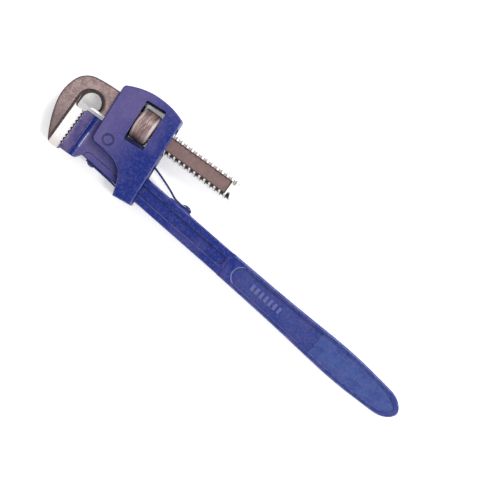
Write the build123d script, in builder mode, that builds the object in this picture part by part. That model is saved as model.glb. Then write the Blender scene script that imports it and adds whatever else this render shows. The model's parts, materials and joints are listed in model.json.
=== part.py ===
from build123d import *
import math
import os

os.makedirs("parts", exist_ok=True)

# Pipe wrench for pipe up to 3 inch, 600 mm long with the jaws shut, lying flat.
# Sizes in millimetres, angles in degrees. X runs along the handle to the grip,
# Y to the side the threaded shank is on, Z up through the thickness.

# Standing point of the pivot pin, so that the middle of the underside is the origin
pin_x = -214.0
pin_y = -16.6
nut_radius = 22.5
mid_z = nut_radius
# Cuts that open to the outside run this far past it
clear = 6.0

# Threaded shank of the hook jaw
shank_tilt = 5.22
shank_axis_q = 41.8
shank_end_p = 171.3
thread_pitch = 8.0
thread_radius = 15.8
thread_core_radius = 13.0
thread_ridge_foot = 5.2
thread_ridge_crest = 2.4
groove_arc = 150.0
groove_count = 42
first_ridge_p = 7.7
shank_half_thickness = 12.2
panel_half_width = 9.5
panel_half_thickness = 9.0
panel_end_p = 162.0

# Jaws
jaw_gap = 0.9
jaw_middle_p = -47.1
tooth_pitch = 5.5
tooth_depth = 2.1
tooth_mouth = 3.8
tooth_count = 9
first_tooth_q = -37.3
heel_top_q = 15.7
heel_foot_q = -44.6
heel_back_p = -32.3
heel_half_thickness = 15.0
hook_half_thickness = 13.5
band_half_thickness = 10.0
band_edge_p = -62.3
band_slope_p = -66.2
neck_under_q = 19.05
neck_end_p = -6.0
throat_p = -47.8
throat_q = 25.5
throat_radius = 14.2
slope_inset = 0.3
steep_slope_run = 2.6
easy_slope_run = 2.1
easy_slope_p_radius = 20.5
easy_slope_q_radius = 18.8
land_width = 3.4
neck_top_q = 59.5
hook_edge_round = 4.0
ledge_round = 3.5

# Dovetail that holds the heel jaw, and its drive pin
tongue_depth = 7.5
tongue_neck_half = 4.0
tongue_end_half = 6.2
tongue_foot_q = -36.0
tongue_gap = 0.05
heel_pin_p = -28.4
heel_pin_q = -12.0
heel_pin_radius = 2.0
heel_pin_hole_depth = 23.2
heel_pin_end_z = 10.6
heel_pin_length = 17.8

# Handle
bar_half_thickness = 9.0
grip_half_thickness = 10.0
grip_start_x = 219.0
grip_edge_round = 3.0
grip_rim = 5.6
grip_recess_depth = 2.4
grip_pad_depth = 1.4
grip_pad_x = 375.0
recess_shoulder_x = 250.0
recess_shoulder_half = 12.8
recess_nose_x = 233.5
grip_middle_y = -21.0
tip_x = 515.0
raised_bar_count = 7
raised_bar_pitch = 7.5
raised_bar_width = 4.2
raised_bar_length = 9.0
raised_bar_height = 1.2
raised_bar_middle_x = 289.0
bar_edge_round = 2.0
head_half_thickness = 15.5
head_round = 8.0
front_edge_y = -37.6
spring_pad_top_y = -2.2
web_depth = 2.4
web_start_x = 56.0
web_end_x = 217.0
web_width = 14.8
web_corner_round = 7.0
bead_groove_y = -27.9
bead_groove_width = 1.5
bead_groove_depth = 1.0

# Frame
frame_half_thickness = 19.5
frame_edge_round = 2.0
shank_channel_half = 14.2
handle_channel_half = 9.6
collar_inner_y = -41.4
bridge_under_y = 16.8
window_width = 29.4
window_height = 58.6
window_inner_height = 50.0
window_inner_shift = 1.6
window_tilt = 9.2
window_x = 24.1
window_y = 45.2
window_corner_round = 2.0

# Adjusting nut
nut_middle_p = 28.1
nut_length = 25.6
nut_end_round = 4.2
nut_thread_gap = 0.4

# Pivot pin
pin_radius = 6.0
pin_running_gap = 0.06
pin_fitted_gap = 0.02
pin_ring_radius = 8.5
pin_ring_depth = 0.8

# Leaf springs and their rivets
rear_spring_thickness = 2.6
front_spring_thickness = 2.0
spring_half_width = 7.0
rivet_radius = 2.5
rivet_gap = 0.02
rivet_clearance = 0.05
rear_rivet_x = 134.6
rear_rivet_length = 13.0
rear_rivet_head_radius = 7.4
rear_rivet_head_height = 3.0
front_rivet_x = 2.5
front_rivet_length = 10.0
front_rivet_head_radius = 6.0
front_rivet_head_height = 2.6
front_spring_outer_y = -39.46

tilt_cos = math.cos(math.radians(shank_tilt))
tilt_sin = math.sin(math.radians(shank_tilt))
along_shank = Vector(tilt_cos, tilt_sin, 0)
across_shank = Vector(-tilt_sin, tilt_cos, 0)
pin_point = Vector(pin_x, pin_y, mid_z)

# body: axes along the handle. jaw: p along the shank, q along the tooth faces.
# jaw_end: p and Z, looking along the tooth faces. All three start at the pin.
body = Plane(origin=pin_point, x_dir=(1, 0, 0), z_dir=(0, 0, 1))
body_side = Plane(origin=pin_point, x_dir=(1, 0, 0), z_dir=(0, -1, 0))
jaw = Plane(origin=pin_point, x_dir=along_shank, z_dir=(0, 0, 1))
jaw_end = Plane(origin=pin_point, x_dir=along_shank, z_dir=across_shank * -1)


def from_jaw(p, q):
    """Turn a point along and across the shank into one along and across the handle."""
    return (p * tilt_cos - q * tilt_sin, p * tilt_sin + q * tilt_cos)


def shank_section(p):
    """Plane square across the shank at p, its X towards the +q side."""
    origin = pin_point + along_shank * p + across_shank * shank_axis_q
    return Plane(origin=origin, x_dir=across_shank, z_dir=along_shank)


def tooth_face(crest_p, inward, foot_q, top_q):
    """Points of a toothed face from its foot to its top; inward is the way the notches go."""
    points = [(crest_p, foot_q)]
    for tooth in range(tooth_count):
        notch_q = first_tooth_q + tooth * tooth_pitch
        points.append((crest_p, notch_q - tooth_mouth / 2))
        points.append((crest_p + inward * tooth_depth, notch_q))
        points.append((crest_p, notch_q + tooth_mouth / 2))
    points.append((crest_p, top_q))
    return points


# ---------------------------------------------------------------- handle
def grip_edge(inset, side):
    """Points of one long edge of the grip, drawn in from the rim by inset."""
    stations = [(grip_start_x, 17.8), (350, 20.3), (440, 21.7), (480, 19.1), (503, 14.4)]
    return [(x - inset * (x > 490), grip_middle_y + side * (half - inset)) for x, half in stations]


bar_back = (75, -3.8)
bar_front = (75, -38.2)
bar_end_x = grip_start_x + 30
bar_end_half = 17.4
heel_corner = from_jaw(-24.7, heel_foot_q)
with BuildPart() as grip:
    with BuildSketch(body.offset(-grip_half_thickness)):
        with BuildLine():
            back_edge = grip_edge(0, 1)
            front_edge = grip_edge(0, -1)
            tip = (tip_x, grip_middle_y)
            Spline(*back_edge, tip, *reversed(front_edge), tangents=[(1, 0.01), (-1, 0.01)])
            Line(front_edge[0], back_edge[0])
        make_face()
    extrude(amount=2 * grip_half_thickness)
    fillet(grip.edges().filter_by(lambda edge: abs(edge.tangent_at(0.5).Z) < 0.1), radius=grip_edge_round)

with BuildPart() as handle:
    with BuildSketch(body):
        with BuildLine():
            bar_back_end = (bar_end_x, grip_middle_y + bar_end_half)
            bar_front_end = (bar_end_x, grip_middle_y - bar_end_half)
            Polyline(bar_back, bar_back_end, bar_front_end, bar_front)
            Polyline(bar_front, (-7, front_edge_y + 0.6), (-14.5, -36.9), heel_corner)
            heel_top = from_jaw(heel_back_p, heel_top_q)
            Polyline(heel_corner, from_jaw(heel_back_p, heel_foot_q), heel_top)
            Polyline(heel_top, from_jaw(4, heel_top_q), (16, 12.5), (45, 2), bar_back)
        make_face()
        heel_round = vertices().sort_by_distance(Vector(*heel_corner, 0))[0]
        fillet(heel_round, radius=4.5)
    extrude(amount=head_half_thickness, both=True)
    # The cheek of the head falls through a hollow round to the thinner bar
    for side in (1, -1):
        with BuildSketch(jaw_end):
            with BuildLine():
                round_end_p = heel_back_p + head_round + 0.8
                low_z = side * bar_half_thickness
                high_z = side * (head_half_thickness + 1)
                centre_z = bar_half_thickness + head_round
                rise = centre_z - head_half_thickness - 1
                arc_p = round_end_p - math.sqrt(head_round ** 2 - rise ** 2)
                mid_p = round_end_p - head_round * math.sin(math.radians(40))
                mid_drop = head_round * math.cos(math.radians(40))
                ThreePointArc((arc_p, high_z), (mid_p, side * (centre_z - mid_drop)), (round_end_p, low_z))
                Polyline((round_end_p, low_z), (300, low_z), (300, high_z), (arc_p, high_z))
            make_face()
        extrude(amount=120, both=True, mode=Mode.SUBTRACT)
    bar_rims = handle.edges().filter_by(
        lambda edge: edge.center().X > pin_x + 60
        and abs(edge.tangent_at(0.5).X) > 0.99
        and abs(abs(edge.center().Z - mid_z) - bar_half_thickness) < 0.1
    )
    fillet(bar_rims, radius=bar_edge_round)
    add(grip.part)
    for side in (1, -1):
        # Panels along the web and in the grip; the grip panel is shallower beyond the step
        with BuildSketch(body.offset(side * (bar_half_thickness - web_depth))):
            with Locations(((web_start_x + web_end_x) / 2, grip_middle_y)):
                RectangleRounded(web_end_x - web_start_x, web_width, web_corner_round)
        extrude(amount=side * clear, mode=Mode.SUBTRACT)
        for depth, panel_end_x in ((grip_pad_depth, tip_x), (grip_recess_depth, grip_pad_x)):
            with BuildSketch(body.offset(side * (grip_half_thickness - depth))):
                with BuildLine():
                    shoulder_y = [grip_middle_y + way * recess_shoulder_half for way in (1, -1)]
                    upper = [(recess_shoulder_x, shoulder_y[0])] + grip_edge(grip_rim, 1)[1:]
                    lower = [(recess_shoulder_x, shoulder_y[1])] + grip_edge(grip_rim, -1)[1:]
                    recess_tip = (tip_x - 7, grip_middle_y)
                    Spline(*upper, recess_tip, *reversed(lower), tangents=[(1, 0.02), (-1, 0.02)])
                    ThreePointArc(upper[0], (recess_nose_x, grip_middle_y), lower[0])
                make_face()
                with Locations((panel_end_x - 200, grip_middle_y)):
                    Rectangle(400, 60, mode=Mode.INTERSECT)
            extrude(amount=side * clear, mode=Mode.SUBTRACT)
        # Plain raised bars in the recess
        with BuildSketch(body.offset(side * (grip_half_thickness - grip_recess_depth - 0.3))):
            with Locations((raised_bar_middle_x, grip_middle_y)):
                with GridLocations(raised_bar_pitch, 1, raised_bar_count, 1):
                    RectangleRounded(raised_bar_width, raised_bar_length, 1)
        extrude(amount=side * raised_bar_height)
        # Groove that parts the round bead along the front edge from the head
        with BuildSketch(body.offset(side * (bar_half_thickness - bead_groove_depth))):
            with BuildLine():
                Line((web_start_x, bead_groove_y), (-5, bead_groove_y))
                ThreePointArc((-5, bead_groove_y), (-9.6, bead_groove_y - 2.1), (-12, bead_groove_y - 6.6))
            trace(line_width=bead_groove_width)
        extrude(amount=side * clear, mode=Mode.SUBTRACT)
    # Pad under the rear spring
    with BuildSketch(body):
        with BuildLine():
            Polyline((107, -4.5), (112, spring_pad_top_y), (141, spring_pad_top_y), (146, -4.5), close=True)
        make_face()
    extrude(amount=bar_half_thickness - 2, both=True)
    # Holes for the pivot pin, heel jaw pin and spring rivets
    with BuildSketch(body):
        Circle(pin_radius + pin_running_gap)
    extrude(amount=head_half_thickness + clear, both=True, mode=Mode.SUBTRACT)
    with BuildSketch(Plane(origin=pin_point + Vector(rear_rivet_x, -14, 0), z_dir=(0, 1, 0))):
        Circle(rivet_radius)
    extrude(amount=20, mode=Mode.SUBTRACT)
    with BuildSketch(Plane(origin=pin_point + Vector(front_rivet_x, -28, 0), z_dir=(0, -1, 0))):
        Circle(rivet_radius)
    extrude(amount=20, mode=Mode.SUBTRACT)
    # Dovetail slot for the heel jaw, open at the throat end
    with BuildSketch(jaw_end.offset(-heel_top_q - 5)):
        tongue_end_p = heel_back_p + tongue_depth + tongue_gap
        with BuildLine():
            Polyline(
                (heel_back_p - 1, tongue_neck_half + tongue_gap),
                (heel_back_p, tongue_neck_half + tongue_gap),
                (tongue_end_p, tongue_end_half + tongue_gap),
                (tongue_end_p, -tongue_end_half - tongue_gap),
                (heel_back_p, -tongue_neck_half - tongue_gap),
                (heel_back_p - 1, -tongue_neck_half - tongue_gap),
                close=True,
            )
        make_face()
    extrude(amount=heel_top_q + 5 - tongue_foot_q + tongue_gap, mode=Mode.SUBTRACT)
    with BuildSketch(jaw.offset(-head_half_thickness)):
        with Locations((heel_pin_p, heel_pin_q)):
            Circle(heel_pin_radius)
    extrude(amount=heel_pin_hole_depth, mode=Mode.SUBTRACT)
handle.part.label = "handle"

# ---------------------------------------------------------------- heel jaw and its pin
heel_crest_p = jaw_middle_p + jaw_gap / 2
with BuildPart() as heel_jaw:
    with BuildSketch(jaw):
        with BuildLine():
            face = tooth_face(heel_crest_p, 1, heel_foot_q + 1.5, heel_top_q - 4)
            Polyline(*face, (heel_crest_p + 3.5, heel_top_q), (heel_back_p, heel_top_q))
            Polyline((heel_back_p, heel_top_q), (heel_back_p, heel_foot_q))
            Polyline((heel_back_p, heel_foot_q), (heel_crest_p + 1.5, heel_foot_q), face[0])
        make_face()
    extrude(amount=heel_half_thickness, both=True)
    side_rims = heel_jaw.edges().filter_by(Plane.XY).group_by(Axis.Z)
    outer_rims = ShapeList(side_rims[0] + side_rims[-1]).filter_by(lambda edge: edge.length > 10)
    chamfer(outer_rims, length=0.8)
    with BuildSketch(jaw_end.offset(-heel_top_q)):
        with BuildLine():
            Polyline(
                (heel_back_p - 1, tongue_neck_half),
                (heel_back_p, tongue_neck_half),
                (heel_back_p + tongue_depth, tongue_end_half),
                (heel_back_p + tongue_depth, -tongue_end_half),
                (heel_back_p, -tongue_neck_half),
                (heel_back_p - 1, -tongue_neck_half),
                close=True,
            )
        make_face()
    extrude(amount=heel_top_q - tongue_foot_q)
    with BuildSketch(jaw.offset(-head_half_thickness)):
        with Locations((heel_pin_p, heel_pin_q)):
            Circle(heel_pin_radius)
    extrude(amount=heel_pin_hole_depth, mode=Mode.SUBTRACT)
heel_jaw.part.label = "heel_jaw"

with BuildPart() as heel_jaw_pin:
    with BuildSketch(jaw.offset(-heel_pin_end_z)):
        with Locations((heel_pin_p, heel_pin_q)):
            Circle(heel_pin_radius - pin_fitted_gap)
    extrude(amount=heel_pin_length)
    chamfer(heel_jaw_pin.edges(), length=0.4)
heel_jaw_pin.part.label = "heel_jaw_pin"

# ---------------------------------------------------------------- frame
with BuildPart() as frame:
    with BuildSketch(body):
        with BuildLine():
            top_left = (-30.1, 67)
            top_right = (56.8, 81.3)
            collar_corner = (77.2, -44.9)
            collar_lip = (51.4, -50.2)
            cheek_corner = (44.5, -34.5)
            cheek_start = (16.7, -13.4)
            front_left = (-17.2, -13.5)
            ThreePointArc(top_left, (14, 84.6), top_right)
            Polyline(top_right, collar_corner, collar_lip, cheek_corner)
            ThreePointArc(cheek_corner, (34.6, -21.2), cheek_start)
            Polyline(cheek_start, front_left, top_left)
        make_face()
        for corner, radius in ((top_left, 6), (front_left, 8)):
            fillet(vertices().sort_by_distance(Vector(*corner, 0))[0], radius=radius)
    extrude(amount=frame_half_thickness, both=True)
    rims = frame.edges().filter_by(Plane.XY).group_by(Axis.Z)
    fillet(ShapeList(rims[0] + rims[-1]), radius=frame_edge_round)
    # Channel for the hook jaw's shank, deeper at the mouth for the neck
    with BuildSketch(jaw):
        with BuildLine():
            channel_top_q = shank_axis_q + 22
            channel_low_q = shank_axis_q - 17
            Polyline(
                (-70, channel_top_q),
                (120, channel_top_q),
                (120, channel_low_q),
                (neck_end_p + 8, channel_low_q),
                (neck_end_p + 2, neck_under_q - 0.8),
                (-70, neck_under_q - 0.8),
                close=True,
            )
        make_face()
    extrude(amount=shank_channel_half, both=True, mode=Mode.SUBTRACT)
    # Room for the handle and the two leaf springs
    with BuildSketch(body):
        with BuildLine():
            Polyline(
                (-70, 32),
                (-70, -70),
                (40, -70),
                (49.5, collar_inner_y),
                (100, collar_inner_y),
                (100, bridge_under_y),
                (50, bridge_under_y),
                (47, 32),
                close=True,
            )
        make_face()
    extrude(amount=handle_channel_half, both=True, mode=Mode.SUBTRACT)
    # Window the nut turns in; its end walls slope in through the cheeks, more on the side of the handle
    window_place = Location((window_x, window_y, 0), (0, 0, window_tilt))
    with BuildSketch(body):
        with Locations(window_place), Locations((0, window_inner_shift)):
            RectangleRounded(window_width, window_inner_height, window_corner_round)
    extrude(amount=frame_half_thickness + clear, both=True, mode=Mode.SUBTRACT)
    for side in (1, -1):
        with BuildSketch(body.offset(side * shank_channel_half)):
            with Locations(window_place), Locations((0, window_inner_shift)):
                RectangleRounded(window_width, window_inner_height, window_corner_round)
        with BuildSketch(body.offset(side * frame_half_thickness)):
            with Locations(window_place):
                RectangleRounded(window_width, window_height, window_corner_round)
        loft(mode=Mode.SUBTRACT)
    # Pin hole, with a ring-shaped recess round it on both cheeks
    with BuildSketch(body):
        Circle(pin_radius + pin_fitted_gap)
    extrude(amount=frame_half_thickness + clear, both=True, mode=Mode.SUBTRACT)
    for side in (1, -1):
        with BuildSketch(body.offset(side * (frame_half_thickness - pin_ring_depth))):
            Circle(pin_ring_radius)
        extrude(amount=side * clear, mode=Mode.SUBTRACT)
frame.part.label = "frame"

with BuildPart() as frame_pin:
    with BuildSketch(body):
        Circle(pin_radius)
    extrude(amount=frame_half_thickness - 0.1, both=True)
    chamfer(frame_pin.edges(), length=0.7)
frame_pin.part.label = "frame_pin"

# ---------------------------------------------------------------- hook jaw
# Tool for one groove of the thread, round the side of the shank between its two flats
groove_foot = thread_pitch - thread_ridge_foot
flank_run = (thread_ridge_foot - thread_ridge_crest) / 2 / (thread_radius - thread_core_radius)
groove_depth = thread_radius - thread_core_radius + 1
groove_mouth = groove_foot + 2 * flank_run * groove_depth
with BuildPart() as thread_groove:
    with BuildLine():
        Helix(pitch=thread_pitch, height=thread_pitch * groove_arc / 360, radius=thread_core_radius)
    with BuildSketch(Plane.XZ):
        with BuildLine():
            Polyline(
                (thread_core_radius, -groove_foot / 2),
                (thread_core_radius + groove_depth, -groove_mouth / 2),
                (thread_core_radius + groove_depth, groove_mouth / 2),
                (thread_core_radius, groove_foot / 2),
                close=True,
            )
        make_face()
    sweep(is_frenet=True)

# Grooves follow each other half a pitch apart, first on the side towards the handle, then on the far one
groove_places = []
for half_turn in range(groove_count):
    groove_p = first_ridge_p + thread_pitch * (half_turn / 2 - groove_arc / 720)
    start_turn = 180 * (1 + half_turn) - groove_arc / 2
    groove_places.append(shank_section(groove_p).location * Location((0, 0, 0), (0, 0, start_turn)))

with BuildPart() as threaded_shank:
    with BuildSketch(shank_section(neck_end_p - 4)):
        Circle(thread_radius)
        Rectangle(4 * thread_radius, 2 * shank_half_thickness, mode=Mode.INTERSECT)
    extrude(amount=shank_end_p - neck_end_p + 4)
    with Locations(*groove_places):
        add(thread_groove.part, mode=Mode.SUBTRACT)
    # Sunk panel along each flat
    for side in (1, -1):
        with BuildSketch(jaw.offset(side * panel_half_thickness)):
            with Locations(((panel_end_p - 10) / 2, shank_axis_q)):
                Rectangle(panel_end_p + 10, 2 * panel_half_width)
        extrude(amount=side * clear, mode=Mode.SUBTRACT)

# Slopes from the throat up to the raw faces: a steep one on the side of the shank, and one all round
# above it. Both start a little inside the throat, so that they leave its wall cleanly
with BuildPart() as throat_flare:
    with BuildSketch(jaw.offset(1)):
        with Locations((throat_p + slope_inset, throat_q)):
            Circle(throat_radius - 2 * slope_inset)
    with BuildSketch(jaw.offset(hook_half_thickness - 0.5)):
        with Locations((throat_p + steep_slope_run, throat_q)):
            Ellipse(throat_radius + steep_slope_run - slope_inset, throat_radius + 1.2)
    loft()
    with BuildSketch(jaw.offset(band_half_thickness)):
        with Locations((throat_p, throat_q)):
            Circle(throat_radius - slope_inset)
    with BuildSketch(jaw.offset(hook_half_thickness + 0.5)):
        with Locations((throat_p + easy_slope_run, throat_q)):
            Ellipse(easy_slope_p_radius, easy_slope_q_radius)
    loft()
    land_edge = jaw.from_local_coords(Vector(0, neck_under_q + land_width, 0))
    split(bisect_by=Plane(origin=land_edge, z_dir=across_shank), keep=Keep.TOP)
    mirror(about=body)

hook_crest_p = jaw_middle_p - jaw_gap / 2
with BuildPart() as hook_jaw:
    with BuildSketch(jaw.offset(-hook_half_thickness)):
        with BuildLine():
            teeth = tooth_face(hook_crest_p, -1, heel_foot_q - 0.4, 9.4)
            tip_q = heel_foot_q - 2.6
            throat_side = (throat_p + 14.165, throat_q - 1.0)
            Polyline((neck_end_p, neck_under_q + 5), (neck_end_p - 5, neck_under_q), (-43.5, neck_under_q))
            Polyline((-43.5, neck_under_q), (-44.2, 20.2), throat_side)
            throat_left = (throat_p - throat_radius, throat_q)
            ThreePointArc(throat_side, (throat_p, throat_q + throat_radius), throat_left)
            Line(throat_left, (-62, 15.5))
            ThreePointArc((-62, 15.5), (-60.97, 13.03), (-58.5, 12))
            Polyline((-58.5, 12), (hook_crest_p - 3.5, 12), *reversed(teeth), (-49, tip_q), (-58.6, tip_q))
            # The back of the hook, from the neck round to the tip in arcs that run into each other
            back = [(-25, neck_top_q), (-58.3, 57.0), (-81.9, 37.6), (-83.9, 1.8), (-65, -43.8)]
            back.append((-58.6, tip_q))
            heading = (-1, 0)
            for start, end in zip(back, back[1:]):
                arc = TangentArc(start, end, tangent=heading)
                heading = arc % 1
            Polyline((-25, neck_top_q), (neck_end_p, neck_top_q), (neck_end_p, neck_under_q + 5))
        make_face()
    extrude(amount=2 * hook_half_thickness)
    arcs = hook_jaw.edges().filter_by(GeomType.CIRCLE).filter_by(lambda edge: edge.radius > ledge_round + 0.1)
    flat_arcs = arcs.filter_by(lambda edge: abs(edge.tangent_at(0.5).Z) < 0.1)
    back_arcs = flat_arcs.filter_by(lambda edge: abs(edge.radius - throat_radius) > 0.1)
    neck_rims = hook_jaw.edges().filter_by(
        lambda edge: abs(jaw.to_local_coords(edge.center()).Y - neck_top_q) < 0.01
        and abs(edge.tangent_at(0.5).Z) < 0.1
    )
    fillet(back_arcs + neck_rims, radius=hook_edge_round)
    # Machined band beside the teeth, with a slope up to the raw forging
    for side in (1, -1):
        with BuildSketch(jaw_end.offset(-throat_q)):
            with BuildLine():
                over_z = side * (hook_half_thickness + 0.5)
                low_z = side * band_half_thickness
                past_p = jaw_middle_p + 0.2
                Polyline((band_edge_p, low_z), (band_slope_p, over_z), (past_p, over_z), (past_p, low_z))
                Line((past_p, low_z), (band_edge_p, low_z))
            make_face()
        extrude(amount=throat_q + 60, mode=Mode.SUBTRACT)
        # Machined land along the underside of the neck
        with BuildSketch(jaw.offset(side * band_half_thickness)):
            with Locations(((-46 - 14) / 2, neck_under_q + land_width / 2)):
                Rectangle(32, land_width)
        extrude(amount=side * clear, mode=Mode.SUBTRACT)
    add(throat_flare.part, mode=Mode.SUBTRACT)
    add(threaded_shank.part)
hook_jaw.part.label = "hook_jaw"

# ---------------------------------------------------------------- adjusting nut
nut_bore_radius = thread_radius + nut_thread_gap
nut_tip_radius = thread_core_radius + nut_thread_gap
# The nut's ridge fills the shank's groove less the gap on either flank
nut_ridge_tip = thread_pitch - thread_ridge_foot - nut_thread_gap
nut_ridge_foot = nut_ridge_tip + nut_bore_radius - nut_tip_radius
nut_ridge_start_p = first_ridge_p + thread_pitch / 2
nut_ridge_turns = 4
with BuildPart() as nut_ridge:
    with BuildLine():
        Helix(pitch=thread_pitch, height=thread_pitch * nut_ridge_turns, radius=nut_bore_radius)
    with BuildSketch(Plane.XZ):
        with BuildLine():
            Polyline(
                (nut_bore_radius + 0.5, -nut_ridge_foot / 2),
                (nut_bore_radius, -nut_ridge_foot / 2),
                (nut_tip_radius, -nut_ridge_tip / 2),
                (nut_tip_radius, nut_ridge_tip / 2),
                (nut_bore_radius, nut_ridge_foot / 2),
                (nut_bore_radius + 0.5, nut_ridge_foot / 2),
                close=True,
            )
        make_face()
    sweep(is_frenet=True)

nut_start_p = nut_middle_p - nut_length / 2
nut_thread_inset = 0.6
with BuildPart() as nut_thread:
    with Locations(shank_section(nut_ridge_start_p).location):
        add(nut_ridge.part)
    with BuildSketch(shank_section(nut_start_p + nut_thread_inset)):
        Circle(nut_bore_radius + 1)
    extrude(amount=nut_length - 2 * nut_thread_inset, mode=Mode.INTERSECT)

with BuildPart() as adjusting_nut:
    nut_origin = shank_section(nut_start_p).origin
    with BuildSketch(Plane(origin=nut_origin, x_dir=along_shank, z_dir=(0, 0, 1))):
        with BuildLine():
            end_face_radius = nut_radius - nut_end_round
            round_mid = nut_end_round * (1 - math.sqrt(0.5))
            round_mid_radius = nut_radius - round_mid
            far = nut_length
            far_round_p = far - nut_end_round
            Polyline((0, end_face_radius), (0, nut_bore_radius), (far, nut_bore_radius), (far, end_face_radius))
            ThreePointArc((far, end_face_radius), (far - round_mid, round_mid_radius), (far_round_p, nut_radius))
            Line((far_round_p, nut_radius), (nut_end_round, nut_radius))
            ThreePointArc((nut_end_round, nut_radius), (round_mid, round_mid_radius), (0, end_face_radius))
        make_face()
    revolve(axis=Axis(nut_origin, along_shank))
    add(nut_thread.part)
adjusting_nut.part.label = "adjusting_nut"

# ---------------------------------------------------------------- leaf springs and rivets
with BuildPart() as rear_leaf_spring:
    rear_y = spring_pad_top_y + rear_spring_thickness / 2 + rivet_gap
    with BuildSketch(body):
        with BuildLine():
            Line((142, rear_y), (117, rear_y))
            rise = [(117, rear_y), (104, 3.4), (91.3, 7.2), (76.6, 10.9), (56, 15.4)]
            Spline(*rise, tangents=[(-1, 0), (-1, 0.15)])
        trace(line_width=rear_spring_thickness)
    extrude(amount=spring_half_width, both=True)
    with BuildSketch(Plane(origin=pin_point + Vector(rear_rivet_x, -10, 0), z_dir=(0, 1, 0))):
        Circle(rivet_radius + rivet_clearance)
    extrude(amount=20, mode=Mode.SUBTRACT)
rear_leaf_spring.part.label = "rear_leaf_spring"

with BuildPart() as front_leaf_spring:
    with BuildSketch(body):
        with BuildLine():
            Spline((-5, -38.2), (30, -38.85), (62, -40.3), (72, -39.8), tangents=[(1, -0.0146), (1, 0.08)])
        trace(line_width=front_spring_thickness)
    extrude(amount=spring_half_width, both=True)
    with BuildSketch(Plane(origin=pin_point + Vector(front_rivet_x, -30, 0), z_dir=(0, -1, 0))):
        Circle(rivet_radius + rivet_clearance)
    extrude(amount=20, mode=Mode.SUBTRACT)
front_leaf_spring.part.label = "front_leaf_spring"


def rivet_half(shank_length, head_radius, head_height):
    """Half outline of a round-headed rivet: X out from its axis, Y up, the head's seat at 0."""
    shank = rivet_radius - rivet_gap
    dome_radius = (head_radius ** 2 + head_height ** 2) / (2 * head_height)
    mid_x = head_radius * 0.55
    mid_y = math.sqrt(dome_radius ** 2 - mid_x ** 2) - dome_radius + head_height
    Polyline((0, head_height), (0, -shank_length), (shank, -shank_length), (shank, 0), (head_radius, 0))
    ThreePointArc((head_radius, 0), (mid_x, mid_y), (0, head_height))


with BuildPart() as rear_spring_rivet:
    seat = pin_point + Vector(rear_rivet_x, rear_y + rear_spring_thickness / 2 + rivet_gap, 0)
    with BuildSketch(Plane(origin=seat, x_dir=(1, 0, 0), z_dir=(0, 0, 1))):
        with BuildLine():
            rivet_half(rear_rivet_length, rear_rivet_head_radius, rear_rivet_head_height)
        make_face()
    revolve(axis=Axis(seat, (0, 1, 0)))
rear_spring_rivet.part.label = "rear_spring_rivet"

with BuildPart() as front_spring_rivet:
    seat = pin_point + Vector(front_rivet_x, front_spring_outer_y - rivet_gap, 0)
    with BuildSketch(Plane(origin=seat, x_dir=(1, 0, 0), z_dir=(0, 0, -1))):
        with BuildLine():
            rivet_half(front_rivet_length, front_rivet_head_radius, front_rivet_head_height)
        make_face()
    revolve(axis=Axis(seat, (0, 1, 0)))
front_spring_rivet.part.label = "front_spring_rivet"

# ---------------------------------------------------------------- one STEP file for each piece
pieces = [
    handle,
    heel_jaw,
    heel_jaw_pin,
    frame,
    frame_pin,
    hook_jaw,
    adjusting_nut,
    rear_leaf_spring,
    front_leaf_spring,
    rear_spring_rivet,
    front_spring_rivet,
]
for piece in pieces:
    export_step(piece.part, f"parts/{piece.part.label}.step")
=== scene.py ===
import json
import math

import bpy
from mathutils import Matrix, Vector
from mathutils.geometry import interpolate_bezier


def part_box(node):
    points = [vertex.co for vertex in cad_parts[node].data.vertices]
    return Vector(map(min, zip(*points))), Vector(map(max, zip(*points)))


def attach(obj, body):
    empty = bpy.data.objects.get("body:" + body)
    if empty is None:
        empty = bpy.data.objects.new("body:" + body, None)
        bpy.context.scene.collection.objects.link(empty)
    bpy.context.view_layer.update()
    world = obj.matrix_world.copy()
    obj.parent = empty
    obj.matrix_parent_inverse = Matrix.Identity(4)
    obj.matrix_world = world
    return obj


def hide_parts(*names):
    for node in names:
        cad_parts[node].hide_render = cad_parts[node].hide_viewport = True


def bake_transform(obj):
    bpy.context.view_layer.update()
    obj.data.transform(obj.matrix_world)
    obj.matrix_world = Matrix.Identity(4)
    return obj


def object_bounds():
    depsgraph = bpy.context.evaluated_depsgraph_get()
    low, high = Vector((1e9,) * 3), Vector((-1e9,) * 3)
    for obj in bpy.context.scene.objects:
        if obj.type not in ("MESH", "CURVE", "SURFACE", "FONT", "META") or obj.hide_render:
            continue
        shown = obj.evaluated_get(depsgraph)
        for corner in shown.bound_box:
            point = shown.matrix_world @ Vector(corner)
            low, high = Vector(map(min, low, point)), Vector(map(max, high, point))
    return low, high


# The looks of a painted pipe wrench lying flat with its jaws shut, seen from straight above.
# Everything is in metres, in the frame of the CAD model.
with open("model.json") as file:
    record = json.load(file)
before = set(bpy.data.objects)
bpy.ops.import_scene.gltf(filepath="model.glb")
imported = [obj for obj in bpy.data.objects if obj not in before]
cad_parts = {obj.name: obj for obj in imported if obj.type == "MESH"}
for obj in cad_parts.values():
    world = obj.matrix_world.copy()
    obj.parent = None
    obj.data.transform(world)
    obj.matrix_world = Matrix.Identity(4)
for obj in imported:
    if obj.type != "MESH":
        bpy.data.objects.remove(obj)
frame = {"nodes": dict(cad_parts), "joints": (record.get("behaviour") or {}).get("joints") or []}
cad_low, cad_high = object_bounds()
nodes = frame["nodes"]
joints = {joint["name"]: joint for joint in frame["joints"]}

# The pivot pin, and the directions of the hook jaw's shank: along it to its threaded end, and across it
# in the flat plane. Places on the hook are p along it and q across it, measured from the pin.
pin_low, pin_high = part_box("frame_pin")
pin = (pin_low + pin_high) / 2
along = -Vector(joints["hook_slide"]["axis"]).normalized()
across = Vector((-along.y, along.x, 0))
shank_turn = math.atan2(along.y, along.x)

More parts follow.
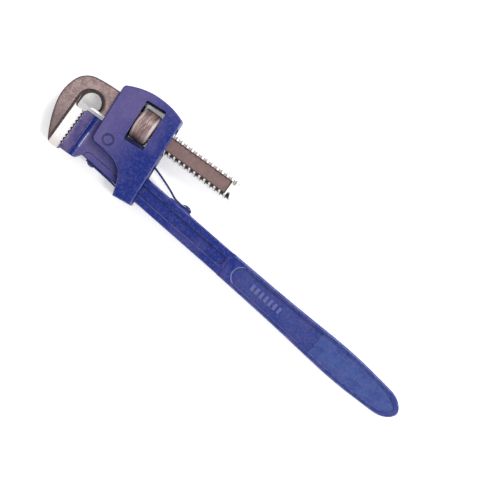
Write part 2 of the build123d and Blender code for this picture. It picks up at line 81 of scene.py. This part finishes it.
# The shape of the hook jaw's parts
band_height = 0.010
neck_end_p = -0.006
shank_axis_q = 0.0418
panel_half = 0.0095
panel_height = 0.009
panel_end_p = 0.162
thread_radius = 0.0158
tooth_crest_p = -0.0466
throat_p = -0.0478
throat_q = 0.0255

# The adjusting nut
nut_low, nut_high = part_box("adjusting_nut")
nut_middle = (nut_low + nut_high) / 2
nut_radius = (nut_high.z - nut_low.z) / 2
nut_half_length = 0.0128

# The window in the frame that the nut turns in: its slant, and half its size with a little to spare
window_tilt = math.radians(9.2)
window_long = Vector((-math.sin(window_tilt), math.cos(window_tilt), 0))
window_wide = window_long.cross(Vector((0, 0, 1)))
window_half_length = 0.0305
window_half_width = 0.0155

# The ring-shaped recess round the pivot pin
pin_ring_inner = 0.0063
pin_ring_outer = 0.0083

# The glossy foot of the hollow round beside the heel jaw
glossy_start_p = -0.0280
glossy_end_p = -0.0232
glossy_low_q = -0.027
glossy_high_q = -0.009

# Where the grip and its shallower far part start, along the handle from the pin, and the raised bars on it
grip_start = 0.219
pad_start = 0.375
raised_bars_middle = 0.289
raised_bar_top = 0.0085
grip_middle = -0.021
nose_middle = 0.2467
nose_radius = 0.0132


class Graph:
    """A material and the few node recipes that the finishes below share. Sizes are in metres."""

    def __init__(self, name):
        self.material = bpy.data.materials.new(name)
        self.material.use_nodes = True
        self.tree = self.material.node_tree
        self.shader = self.tree.nodes["Principled BSDF"]
        self.place = self.add("ShaderNodeTexCoord").outputs["Object"]
        self.geometry = self.add("ShaderNodeNewGeometry")

    def add(self, kind, **settings):
        node = self.tree.nodes.new(kind)
        for key, value in settings.items():
            setattr(node, key, value)
        return node

    def put(self, socket, value):
        """Link an output to an input, or set the input's own value."""
        if isinstance(value, bpy.types.NodeSocket):
            self.tree.links.new(value, socket)
        else:
            socket.default_value = value

    def set(self, **inputs):
        """Give the shader its inputs by name, with _ for a space."""
        for key, value in inputs.items():
            self.put(self.shader.inputs[key.replace("_", " ")], value)

    def math(self, operation, a, b=0.0, clamp=False):
        node = self.add("ShaderNodeMath", operation=operation, use_clamp=clamp)
        self.put(node.inputs[0], a)
        self.put(node.inputs[1], b)
        return node.outputs[0]

    def times(self, a, b):
        return self.math("MULTIPLY", a, b)

    def minus(self, a, b):
        return self.math("SUBTRACT", a, b)

    def span(self, value, low, high, out_low=0.0, out_high=1.0):
        """Map value from low..high to out_low..out_high, smoothly and no further."""
        node = self.add("ShaderNodeMapRange", interpolation_type="SMOOTHSTEP")
        for socket, number in zip(node.inputs, (value, low, high, out_low, out_high)):
            self.put(socket, number)
        return node.outputs[0]

    def mix(self, share, a, b):
        """Colour a where share is 0 and b where it is 1."""
        node = self.add("ShaderNodeMix", data_type="RGBA")
        self.put(node.inputs["Factor"], share)
        self.put(node.inputs[6], a)
        self.put(node.inputs[7], b)
        return node.outputs[2]

    def grain(self, size, detail=3.0, rough=0.55, stretch=None, twist=0.0):
        """Noise from 0 to 1 whose blobs are about size across. A factor below 1 in stretch draws them out in
        that direction, and twist turns the directions."""
        where = self.place
        if stretch or twist:
            turn = self.add("ShaderNodeMapping")
            turn.inputs["Rotation"].default_value = (0, 0, twist)
            turn.inputs["Scale"].default_value = stretch or (1, 1, 1)
            self.put(turn.inputs["Vector"], where)
            where = turn.outputs[0]
        node = self.add("ShaderNodeTexNoise")
        self.put(node.inputs["Vector"], where)
        node.inputs["Scale"].default_value = 1 / size
        node.inputs["Detail"].default_value = detail
        node.inputs["Roughness"].default_value = rough
        return node.outputs[0]

    def distance(self, origin, direction):
        """How far a point lies from origin in that direction."""
        shift = self.add("ShaderNodeVectorMath", operation="SUBTRACT")
        self.put(shift.inputs[0], self.place)
        shift.inputs[1].default_value = origin
        dot = self.add("ShaderNodeVectorMath", operation="DOT_PRODUCT")
        self.put(dot.inputs[0], shift.outputs[0])
        dot.inputs[1].default_value = direction
        return dot.outputs["Value"]

    def ring_distance(self, a, b):
        """Distance from an axis, out of two distances square to it and to each other."""
        squares = self.math("ADD", self.times(a, a), self.times(b, b))
        return self.math("SQRT", squares)

    def facing_up(self):
        """1 on faces that look straight up or down and 0 on the sides."""
        split = self.add("ShaderNodeSeparateXYZ")
        self.put(split.inputs[0], self.geometry.outputs["Normal"])
        return self.math("ABSOLUTE", split.outputs["Z"])

    def crevice(self, reach):
        """1 deep in a corner or gap and 0 in the open."""
        node = self.add("ShaderNodeAmbientOcclusion", samples=6)
        node.inputs["Distance"].default_value = reach
        return self.minus(1.0, node.outputs["AO"])

    def rounded(self, radius):
        """The normal with its sharp edges softened, and a mask of where those edges are."""
        node = self.add("ShaderNodeBevel", samples=6)
        node.inputs["Radius"].default_value = radius
        dot = self.add("ShaderNodeVectorMath", operation="DOT_PRODUCT")
        self.put(dot.inputs[0], node.outputs[0])
        self.put(dot.inputs[1], self.geometry.outputs["Normal"])
        return node.outputs[0], self.minus(1.0, dot.outputs["Value"])

    def bump(self, height, depth, under=None):
        """Raise the surface by height times depth, on top of the normal under."""
        node = self.add("ShaderNodeBump")
        self.put(node.inputs["Distance"], depth)
        self.put(node.inputs["Height"], height)
        if under is not None:
            self.put(node.inputs["Normal"], under)
        return node.outputs[0]


def enamel(name, violet_sheen, faded=0.0, edge_radius=0.0012, rim_start=0.04, overall_darkening=0.0, window_shade=0.0):
    """Blue enamel over a forging, chipped at its edges, with paler rubbed edges that are partly wear and
    partly a painted highlight, and painted shade in its corners. Its flat faces turn purple in loose patches
    and, as much as the second argument says, towards the jaws: a painted sheen on the faces that look up.
    They fade where the hand holds the grip. Its rounds get a painted highlight from a given distance along
    the handle from the pin on.
    A further argument darkens all of it, and another paints shade on the walls of the window round the nut."""
    blue = (0.006, 0.016, 0.134, 1)
    violet_sheen_blue = (0.078, 0.064, 0.178, 1)
    held_blue = (0.036, 0.060, 0.200, 1)
    speckle_blue = (0.11, 0.11, 0.27, 1)
    rubbed_highlight_blue = (0.19, 0.20, 0.40, 1)
    rim_blue = (0.16, 0.18, 0.40, 1)
    bar_highlight_blue = (0.11, 0.12, 0.30, 1)
    nose_highlight_blue = (0.26, 0.30, 0.50, 1)
    ring_groove_shade = (0.006, 0.007, 0.045, 1)
    bare_steel = (0.24, 0.21, 0.21, 1)
    corner_shade = (0.002, 0.003, 0.020, 1)
    window_wall_shade = (0.003, 0.004, 0.022, 1)
    g = Graph(name)
    along_handle = g.distance(pin, Vector((1, 0, 0)))
    up = g.facing_up()
    patches = g.grain(0.045, 4)
    # Painted purple sheen on the faces that look up: strongest towards the jaws, with loose random patches
    sheen_and_patches = g.span(along_handle, -0.015, 0.060, violet_sheen, 0.0)
    sheen_and_patches = g.math("ADD", g.span(patches, 0.42, 0.66, -0.10, 0.32), sheen_and_patches, clamp=True)
    sheen_and_patches = g.times(sheen_and_patches, g.span(up, 0.90, 1.0))
    colour = g.mix(sheen_and_patches, blue, violet_sheen_blue)
    held = g.span(along_handle, grip_start, grip_start + 0.03, 0.0, faded * 0.35)
    pad = g.span(along_handle, pad_start - 0.001, pad_start + 0.001, 0.0, faded * 0.55)
    held = g.times(g.math("ADD", held, pad), g.span(g.grain(0.016, 4), 0.3, 0.6, 0.5, 1.0))
    height = g.math("ABSOLUTE", g.distance(pin, Vector((0, 0, 1))))
    held = g.times(held, g.span(height, 0.0094, 0.0088, 0.25, 1.0))
    colour = g.mix(held, colour, held_blue)
    speckle = g.span(g.grain(0.0034, 4, 0.65), 0.44, 0.70, 0.0, 0.26)
    colour = g.mix(speckle, colour, speckle_blue)
    normal, edge = g.rounded(edge_radius)
    corner = g.crevice(0.006)
    open_edge = g.times(g.span(edge, 0.02, 0.16), g.span(corner, 0.65, 0.40))
    # Paler rubbed edges: partly wear, partly a painted highlight along the edges
    rubbed = g.times(open_edge, g.span(g.grain(0.007, 4), 0.36, 0.56))
    colour = g.mix(g.times(rubbed, 0.75), colour, rubbed_highlight_blue)
    # The rounds of the bar and grip catch the light where they turn down
    rim = g.times(g.span(up, 0.97, 0.88), g.span(up, 0.45, 0.70))
    rim = g.times(rim, g.span(along_handle, rim_start, rim_start + 0.02))
    from_grip = g.math("ABSOLUTE", g.minus(along_handle, grip_start))
    rim = g.times(rim, g.span(from_grip, 0.003, 0.007))
    rim = g.times(rim, g.span(g.grain(0.012, 4), 0.35, 0.60, 0.15, 0.55))
    colour = g.mix(rim, colour, rim_blue)
    # Painted highlight on the tops of the raised bars
    bar_highlight = g.span(g.math("ABSOLUTE", g.minus(height, raised_bar_top)), 0.0002, 0.0001)
    from_bars = g.math("ABSOLUTE", g.minus(along_handle, raised_bars_middle))
    bar_highlight = g.times(bar_highlight, g.span(from_bars, 0.032, 0.030))
    colour = g.mix(g.times(bar_highlight, 0.65), colour, bar_highlight_blue)
    # Painted highlight on the round start of the grip's recess, where it faces the light
    across_handle = g.minus(g.distance(pin, Vector((0, 1, 0))), grip_middle)
    from_nose = g.ring_distance(g.minus(along_handle, nose_middle), across_handle)
    nose_highlight = g.span(g.math("ABSOLUTE", g.minus(from_nose, nose_radius)), 0.0011, 0.0004)
    nose_highlight = g.times(nose_highlight, g.span(along_handle, nose_middle - 0.002, nose_middle - 0.007))
    colour = g.mix(g.times(nose_highlight, 0.55), colour, nose_highlight_blue)
    # Painted shade in the ring groove round the pivot pin
    from_pin = g.ring_distance(along_handle, g.distance(pin, Vector((0, 1, 0))))
    ring = g.times(
        g.span(from_pin, pin_ring_inner - 0.0007, pin_ring_inner),
        g.span(from_pin, pin_ring_outer + 0.0007, pin_ring_outer),
    )
    colour = g.mix(g.times(ring, 0.50), colour, ring_groove_shade)
    chips = g.times(open_edge, g.span(g.grain(0.0035, 5, 0.7), 0.60, 0.63))
    colour = g.mix(chips, colour, bare_steel)
    # Painted shade deep in corners and gaps; a further argument mixes all of it towards the same dark colour
    colour = g.mix(g.span(corner, 0.25, 0.75, overall_darkening, 1.0), colour, corner_shade)
    # Painted shade on the sloping walls of the frame's window
    off_wide = g.math("ABSOLUTE", g.distance(nut_middle, window_wide))
    off_long = g.math("ABSOLUTE", g.distance(nut_middle, window_long))
    in_window = g.times(
        g.span(off_wide, window_half_width + 0.0005, window_half_width),
        g.span(off_long, window_half_length + 0.0005, window_half_length),
    )
    in_window = g.times(in_window, g.span(up, 0.985, 0.965))
    colour = g.mix(g.times(in_window, window_shade), colour, window_wall_shade)
    # The foot of the hollow round beside the heel jaw is smooth and glossy on its lower half
    p = g.distance(pin, along)
    q = g.distance(pin, across)
    glossy_along = g.times(
        g.span(p, glossy_start_p - 0.0010, glossy_start_p),
        g.span(p, glossy_end_p + 0.0007, glossy_end_p),
    )
    glossy_across = g.times(
        g.span(q, glossy_low_q - 0.004, glossy_low_q),
        g.span(q, glossy_high_q + 0.004, glossy_high_q),
    )
    glossy = g.times(glossy_along, glossy_across)
    rough_cast = g.minus(1.0, glossy)
    cast = g.bump(g.grain(0.0034, 3), g.times(rough_cast, 0.00030), normal)
    peel = g.bump(g.grain(0.0009, 2), g.times(rough_cast, 0.00004), cast)
    g.set(
        Base_Color=colour,
        Roughness=g.span(g.grain(0.012, 4), 0.3, 0.7, 0.34, 0.48),
        Metallic=0.0,
        Specular_IOR_Level=0.10,
        Coat_Weight=g.math("ADD", g.times(glossy, 0.85), 0.12, clamp=True),
        Coat_Roughness=g.span(glossy, 0.0, 1.0, 0.12, 0.20),
        Normal=peel,
    )
    return g.material


def hook_steel(name):
    """The hook jaw: raw brown-grey forging with painted shade on its sides and slopes, and a shiny machined
    band, teeth, thread and shank, whose near-white colour is partly a painted reflection, with a raw panel
    sunk in the shank's flats."""
    face_dark = (0.160, 0.104, 0.104, 1)
    face_pale = (0.265, 0.186, 0.186, 1)
    face_speckle = (0.40, 0.30, 0.28, 1)
    shank_brown = (0.115, 0.062, 0.058, 1)
    low_brown = (0.085, 0.058, 0.064, 1)
    slope_shade_dark = (0.026, 0.014, 0.012, 1)
    slope_shade_pale = (0.070, 0.044, 0.040, 1)
    worn_edge = (0.50, 0.42, 0.38, 1)
    cut_glare_dark = (0.78, 0.74, 0.74, 1)
    cut_glare_pale = (0.94, 0.92, 0.93, 1)
    panel_foot_shade = (0.022, 0.012, 0.011, 1)
    near_groove_shade = (0.030, 0.018, 0.018, 1)
    far_groove_shade = (0.30, 0.24, 0.24, 1)
    throat_shade = (0.024, 0.011, 0.010, 1)
    tip_shade = (0.50, 0.40, 0.42, 1)
    band_edge_shade = (0.10, 0.065, 0.068, 1)
    corner_shade = (0.020, 0.013, 0.013, 1)
    g = Graph(name)
    p = g.distance(pin, along)
    q = g.distance(pin, across)
    height = g.math("ABSOLUTE", g.distance(pin, Vector((0, 0, 1))))
    up = g.facing_up()
    normal, edge = g.rounded(0.0005)
    corner = g.crevice(0.005)
    # Raw forging
    blotch = g.grain(0.010, 5, 0.65)
    fine = g.grain(0.0022, 3, 0.6)
    face = g.mix(g.span(blotch, 0.35, 0.65), face_dark, face_pale)
    face = g.mix(g.span(fine, 0.48, 0.70, 0.0, 0.60), face, face_speckle)
    on_shank = g.span(p, neck_end_p, neck_end_p + 0.02)
    face = g.mix(g.times(on_shank, 0.75), face, shank_brown)
    low_end = g.span(q, 0.020, -0.035, 0.0, 0.75)
    face = g.mix(low_end, face, low_brown)
    # Painted shade: the sides and slopes, which turn away from the light, are darker than the flat faces
    slope_shade = g.mix(g.span(fine, 0.35, 0.7), slope_shade_dark, slope_shade_pale)
    raw = g.mix(g.span(up, 0.72, 0.97), slope_shade, face)
    raw = g.mix(g.times(g.span(edge, 0.02, 0.15), 0.35), raw, worn_edge)
    # Machined steel, with the cutter's lines across it; its near-white colour is partly a painted reflection
    # of the light
    lines = g.grain(0.0006, 2, 0.6, stretch=(1, 0.08, 1), twist=-shank_turn)
    cut_steel_glare = g.mix(g.span(lines, 0.35, 0.65), cut_glare_dark, cut_glare_pale)
    # Where each of them is
    at_band = g.span(height, band_height + 0.0003, band_height + 0.0001)
    low_flats = g.times(at_band, g.span(up, 0.95, 0.99))
    low_flats = g.times(low_flats, g.span(p, neck_end_p, neck_end_p - 0.0005))
    shank = g.span(p, neck_end_p, neck_end_p + 0.0005)
    from_axis = g.math("ABSOLUTE", g.minus(q, shank_axis_q))
    panel_side = g.span(from_axis, panel_half - 0.0001, panel_half + 0.0002)
    panel_depth = g.span(height, panel_height + 0.0004, panel_height + 0.0007)
    panel_end = g.span(p, panel_end_p - 0.0002, panel_end_p + 0.0001)
    outside = g.math("MAXIMUM", g.math("MAXIMUM", panel_side, panel_depth), panel_end)
    machined = g.math("MAXIMUM", low_flats, g.times(shank, outside))
    # Painted shade: a dark line along the foot of the panel's walls
    line_side = g.span(from_axis, panel_half - 0.0020, panel_half - 0.0010)
    line_end = g.span(p, panel_end_p - 0.0020, panel_end_p - 0.0010)
    panel_shade_line = g.times(g.math("MAXIMUM", line_side, line_end), shank)
    raw = g.mix(g.times(panel_shade_line, 0.85), raw, panel_foot_shade)
    # Painted shade in the grooves of the thread, darker on the side towards the handle, which faces away
    # from the light
    groove = g.span(g.ring_distance(from_axis, height), thread_radius - 0.0003, thread_radius - 0.0010)
    groove = g.times(groove, g.span(up, 0.95, 0.85))
    far_side = g.span(q, shank_axis_q - 0.002, shank_axis_q + 0.002)
    groove_shade = g.mix(far_side, near_groove_shade, far_groove_shade)
    cut_steel_glare = g.mix(g.times(groove, shank), cut_steel_glare, groove_shade)
    # Painted shade in the throat, on the side of the shank
    from_throat = g.ring_distance(g.minus(p, throat_p), g.minus(q, throat_q))
    on_shank_side = g.span(p, throat_p - 0.002, throat_p + 0.010)
    throat = g.times(g.span(from_throat, 0.0225, 0.0175), on_shank_side)
    raw = g.mix(g.times(throat, 0.92), raw, throat_shade)
    # Painted shade on the tip, and a dark outline of painted shade along the edges of the band and teeth
    cut_steel_glare = g.mix(g.span(q, -0.026, -0.046, 0.0, 0.55), cut_steel_glare, tip_shade)
    _outline_normal, outline_edge = g.rounded(0.0012)
    band_edge_shade_mask = g.times(g.span(outline_edge, 0.03, 0.20), low_flats)
    cut_steel_glare = g.mix(g.times(band_edge_shade_mask, 0.80), cut_steel_glare, band_edge_shade)
    colour = g.mix(machined, raw, cut_steel_glare)
    # Painted shade deep in corners
    colour = g.mix(g.span(corner, 0.42, 0.9), colour, corner_shade)
    surface = g.bump(g.grain(0.0024, 4), 0.00028, normal)
    g.set(
        Base_Color=colour,
        Roughness=g.minus(0.62, g.times(machined, 0.30)),
        Metallic=g.math("ADD", 0.15, g.times(machined, 0.25)),
        Normal=surface,
    )
    return g.material


def forged(name):
    """Dark forged steel with worn, brighter edges."""
    dark_steel = (0.10, 0.075, 0.10, 1)
    pale_steel = (0.21, 0.17, 0.21, 1)
    worn_edge = (0.48, 0.42, 0.44, 1)
    corner_shade = (0.012, 0.010, 0.016, 1)
    g = Graph(name)
    normal, edge = g.rounded(0.0006)
    colour = g.mix(g.span(g.grain(0.004, 4), 0.35, 0.65), dark_steel, pale_steel)
    colour = g.mix(g.span(edge, 0.02, 0.2), colour, worn_edge)
    # Painted shade deep in corners
    colour = g.mix(g.span(g.crevice(0.002), 0.4, 0.9), colour, corner_shade)
    surface = g.bump(g.grain(0.002, 3), 0.0002, normal)
    g.set(Base_Color=colour, Roughness=0.5, Metallic=0.55, Normal=surface)
    return g.material


def heel_steel(name):
    """The heel jaw: enamelled sides, rubbed next to the teeth, and bare dark teeth."""
    paint_blue = (0.050, 0.042, 0.135, 1)
    paint_violet = (0.090, 0.070, 0.170, 1)
    rubbed_paint = (0.22, 0.20, 0.30, 1)
    bare_dark = (0.03, 0.022, 0.022, 1)
    bare_pale = (0.09, 0.065, 0.06, 1)
    corner_shade = (0.010, 0.008, 0.016, 1)
    g = Graph(name)
    p = g.distance(pin, along)
    normal, _edge = g.rounded(0.0004)
    patches = g.grain(0.010, 4)
    paint = g.mix(g.span(patches, 0.4, 0.6), paint_blue, paint_violet)
    near_teeth = g.span(p, tooth_crest_p + 0.006, tooth_crest_p + 0.001)
    rubbed = g.times(near_teeth, g.span(g.grain(0.003, 4), 0.42, 0.62))
    paint = g.mix(g.times(rubbed, 0.5), paint, rubbed_paint)
    bare = g.mix(g.grain(0.002, 3), bare_dark, bare_pale)
    side = g.span(g.facing_up(), 0.5, 0.8)
    colour = g.mix(side, bare, paint)
    # Painted shade deep in corners
    colour = g.mix(g.span(g.crevice(0.004), 0.4, 0.9), colour, corner_shade)
    g.set(
        Base_Color=colour,
        Roughness=g.span(patches, 0.3, 0.7, 0.34, 0.50),
        Metallic=g.minus(0.7, g.times(side, 0.7)),
        Specular_IOR_Level=0.15,
        Normal=g.bump(g.grain(0.003, 3), 0.0002, normal),
    )
    return g.material


def nut_steel(name):
    """Knurled steel, pinkish with handling, with a painted highlight on its rounded ends and painted shade
    in the knurl.
    """
    streak_dark = (0.120, 0.070, 0.068, 1)
    streak_pale = (0.320, 0.225, 0.220, 1)
    end_highlight = (0.62, 0.54, 0.54, 1)
    knurl_shade = (0.060, 0.040, 0.038, 1)
    streak_turn = math.radians(14) - shank_turn
    g = Graph(name)
    normal, _edge = g.rounded(0.0003)
    streak = g.grain(0.0016, 4, 0.65, stretch=(1, 0.10, 0.10), twist=streak_turn)
    colour = g.mix(g.span(streak, 0.35, 0.65), streak_dark, streak_pale)
    from_middle = g.math("ABSOLUTE", g.distance(nut_middle, along))
    # Painted highlight on the rounded ends
    ends = g.span(from_middle, nut_half_length - 0.005, nut_half_length - 0.0015)
    colour = g.mix(g.times(ends, 0.70), colour, end_highlight)
    # Painted shade in the knurl
    colour = g.mix(g.span(g.crevice(0.0012), 0.18, 0.7, 0.0, 0.85), colour, knurl_shade)
    g.set(
        Base_Color=colour,
        Roughness=g.span(streak, 0.3, 0.7, 0.34, 0.50),
        Metallic=0.30,
        Normal=g.bump(g.grain(0.0008, 3), 0.00006, normal),
    )
    return g.material


def give(material, *names):
    for node_name in names:
        slots = nodes[node_name].data.materials
        slots.clear()
        slots.append(material)


# ---------------------------------------------------------------- pieces that replace CAD nodes
def add_mesh(name, points, faces, material, smooth=True):
    mesh = bpy.data.meshes.new(name)
    mesh.from_pydata(points, [], faces)
    mesh.materials.append(material)
    if smooth:
        mesh.shade_smooth()
    piece = bpy.data.objects.new(name, mesh)
    bpy.context.scene.collection.objects.link(piece)
    return piece


def add_nut(material):
    """The adjusting nut: a barrel with rounded ends, two crossing sets of knurl and a plain bore."""
    ring_count = 84
    round_count = 330
    end_round = 0.0042
    bore = 0.0163
    knurl_depth = 0.00035
    knurl_starts = 11
    knurl_pitch = 0.0027
    rings = []
    for ring in range(ring_count + 1):
        # Stations lie closer together over the rounded ends
        p = -nut_half_length * math.cos(math.pi * ring / ring_count)
        into_round = max(0.0, abs(p) - (nut_half_length - end_round))
        radius = nut_radius - end_round + math.sqrt(max(0.0, end_round ** 2 - into_round ** 2))
        fade = min(1.0, max(0.0, 1 - into_round / (0.75 * end_round)))
        rings.append((p, radius, fade))
    points = []
    for p, radius, fade in rings:
        for step in range(round_count):
            angle = 2 * math.pi * step / round_count
            turn = knurl_starts * step / round_count
            main = abs(math.sin(math.pi * (turn - p / knurl_pitch)))
            cross = abs(math.sin(math.pi * (turn + p / knurl_pitch)))
            cut = knurl_depth * fade * ((1 - main) ** 2 + 0.6 * (1 - cross) ** 2)
            points.append(shank_point(p, radius - cut, angle))
    for p in (nut_half_length, -nut_half_length):
        for step in range(round_count):
            points.append(shank_point(p, bore, 2 * math.pi * step / round_count))
    loop_count = ring_count + 3
    faces = []
    for ring in range(loop_count):
        for step in range(round_count):
            a = ring * round_count + step
            b = ring * round_count + (step + 1) % round_count
            next_ring = ((ring + 1) % loop_count) * round_count
            c = next_ring + (step + 1) % round_count
            d = next_ring + step
            faces.append((a, b, c, d))
    nut = add_mesh("thumb_nut", points, faces, material)
    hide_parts("adjusting_nut")
    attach(nut, "nut_body")


def shank_point(p, radius, angle):
    """A point p along the shank from the nut's middle, and radius from its axis. The angle starts on the
    side away from the handle and turns upwards."""
    centre = nut_middle + along * p
    return centre + across * (radius * math.cos(angle)) + Vector((0, 0, radius * math.sin(angle)))


def smooth_line(points, steps):
    """A line through the points that turns smoothly, as a list of points."""
    line = []
    last = len(points) - 1
    for i in range(last):
        before = points[max(i - 1, 0)]
        start = points[i]
        end = points[i + 1]
        after = points[min(i + 2, last)]
        reach = (end - start).length / 3
        leave = start + (end - before).normalized() * reach
        arrive = end - (after - start).normalized() * reach
        line += interpolate_bezier(start, leave, arrive, end, steps)[:-1]
    return line + [points[-1]]


def add_spring(name, node, route, thickness, half_width, material):
    """A leaf spring: a flat strip with rounded edges. Its route lies in the flat plane, in millimetres from
    the pin."""
    stretch_steps = 12
    line = smooth_line([pin + Vector((x, y, 0)) / 1000 for x, y in route], stretch_steps)
    edge = thickness * 0.3
    corner_steps = 3
    section = []
    for sign_z, sign_n, first in ((1, 1, 90), (1, -1, 0), (-1, -1, -90), (-1, 1, -180)):
        for step in range(corner_steps + 1):
            angle = math.radians(first - 90 * step / corner_steps)
            across_strip = sign_n * (thickness / 2 - edge) + edge * math.sin(angle)
            up = sign_z * (half_width - edge) + edge * math.cos(angle)
            section.append((across_strip, up))
    points = []
    for i, place in enumerate(line):
        heading = (line[min(i + 1, len(line) - 1)] - line[max(i - 1, 0)]).normalized()
        out = Vector((-heading.y, heading.x, 0))
        points += [place + out * n + Vector((0, 0, up)) for n, up in section]
    count = len(section)
    faces = []
    for i in range(len(line) - 1):
        for k in range(count):
            a = i * count + k
            b = i * count + (k + 1) % count
            faces.append((a, b, b + count, a + count))
    faces.append(tuple(range(count))[::-1])
    faces.append(tuple(range(len(points) - count, len(points))))
    spring = add_mesh(name, points, faces, material, smooth=False)
    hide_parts(node)
    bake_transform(spring)


# ---------------------------------------------------------------- camera, floor and lights
def add_camera():
    """Straight above the wrench, turned so that it lies from the upper left to the lower right."""
    off_pin = Vector((0.2179, 0.0146, 2.0))
    turn = math.radians(41.2)
    data = bpy.data.cameras.new("camera")
    data.sensor_width = 36.0
    data.lens = 114.2
    data.clip_end = 20.0
    camera = bpy.data.objects.new("camera", data)
    camera.location = pin + off_pin
    camera.rotation_euler = (0, 0, turn)
    bpy.context.scene.collection.objects.link(camera)
    bpy.context.scene.camera = camera


def add_light(name, place, target, size, power):
    data = bpy.data.lights.new(name, "AREA")
    data.shape = "RECTANGLE"
    data.size, data.size_y = size
    data.energy = power
    light = bpy.data.objects.new(name, data)
    light.location = place
    light.rotation_euler = (Vector(target) - Vector(place)).to_track_quat("-Z", "Y").to_euler()
    bpy.context.scene.collection.objects.link(light)


def add_floor():
    floor_gap = 0.0005
    bpy.ops.mesh.primitive_plane_add(size=8, location=(0, 0, cad_low.z - floor_gap))
    floor = bpy.context.object
    floor.name = "floor"
    paper = Graph("paper")
    paper.set(
        Base_Color=(0.93, 0.93, 0.93, 1),
        Roughness=0.9,
        Specular_IOR_Level=0.0,
        Emission_Color=(1, 1, 1, 1),
        Emission_Strength=0.25,
    )
    floor.data.materials.append(paper.material)


def add_world():
    world = bpy.data.worlds.new("studio")
    world.use_nodes = True
    background = world.node_tree.nodes["Background"]
    background.inputs["Color"].default_value = (1.0, 1.0, 1.0, 1)
    background.inputs["Strength"].default_value = 0.80
    bpy.context.scene.world = world


blue = enamel("blue_enamel", violet_sheen=0.75, faded=1.0)
violet_sheen_blue = enamel("violet_blue_enamel", violet_sheen=1.0, rim_start=0.0, window_shade=0.9)
rivet_blue = enamel("rivet_enamel", violet_sheen=0.1, edge_radius=0.0004)
spring_blue = enamel("spring_enamel", violet_sheen=0.1, edge_radius=0.0004, overall_darkening=0.5)
give(blue, "handle")
give(violet_sheen_blue, "frame", "frame_pin")
give(rivet_blue, "rear_spring_rivet", "front_spring_rivet")
give(hook_steel("hook_steel"), "hook_jaw")
give(heel_steel("heel_steel"), "heel_jaw")
give(forged("pin_steel"), "heel_jaw_pin")
add_nut(nut_steel("nut_steel"))

# Routes of the leaf springs, along the handle and across it from the pin
rear_route = [(142, -0.88), (117, -0.88), (104, 3.4), (91.3, 7.2), (76.6, 10.9), (56, 15.4)]
front_route = [(-5, -38.2), (30, -38.85), (62, -40.3), (72, -39.8)]
add_spring("rear_spring", "rear_leaf_spring", rear_route, 0.0026, 0.007, spring_blue)
add_spring("front_spring", "front_leaf_spring", front_route, 0.0020, 0.007, spring_blue)

add_camera()
add_floor()
add_world()
add_light("key", (0.25, 1.3, 1.5), (0, 0, 0), (0.9, 0.9), 28)
add_light("grip side", (1.20, -0.1, 2.2), (-0.2, 0, 0), (0.40, 0.7), 21)
bpy.context.scene.view_settings.view_transform = "Standard"
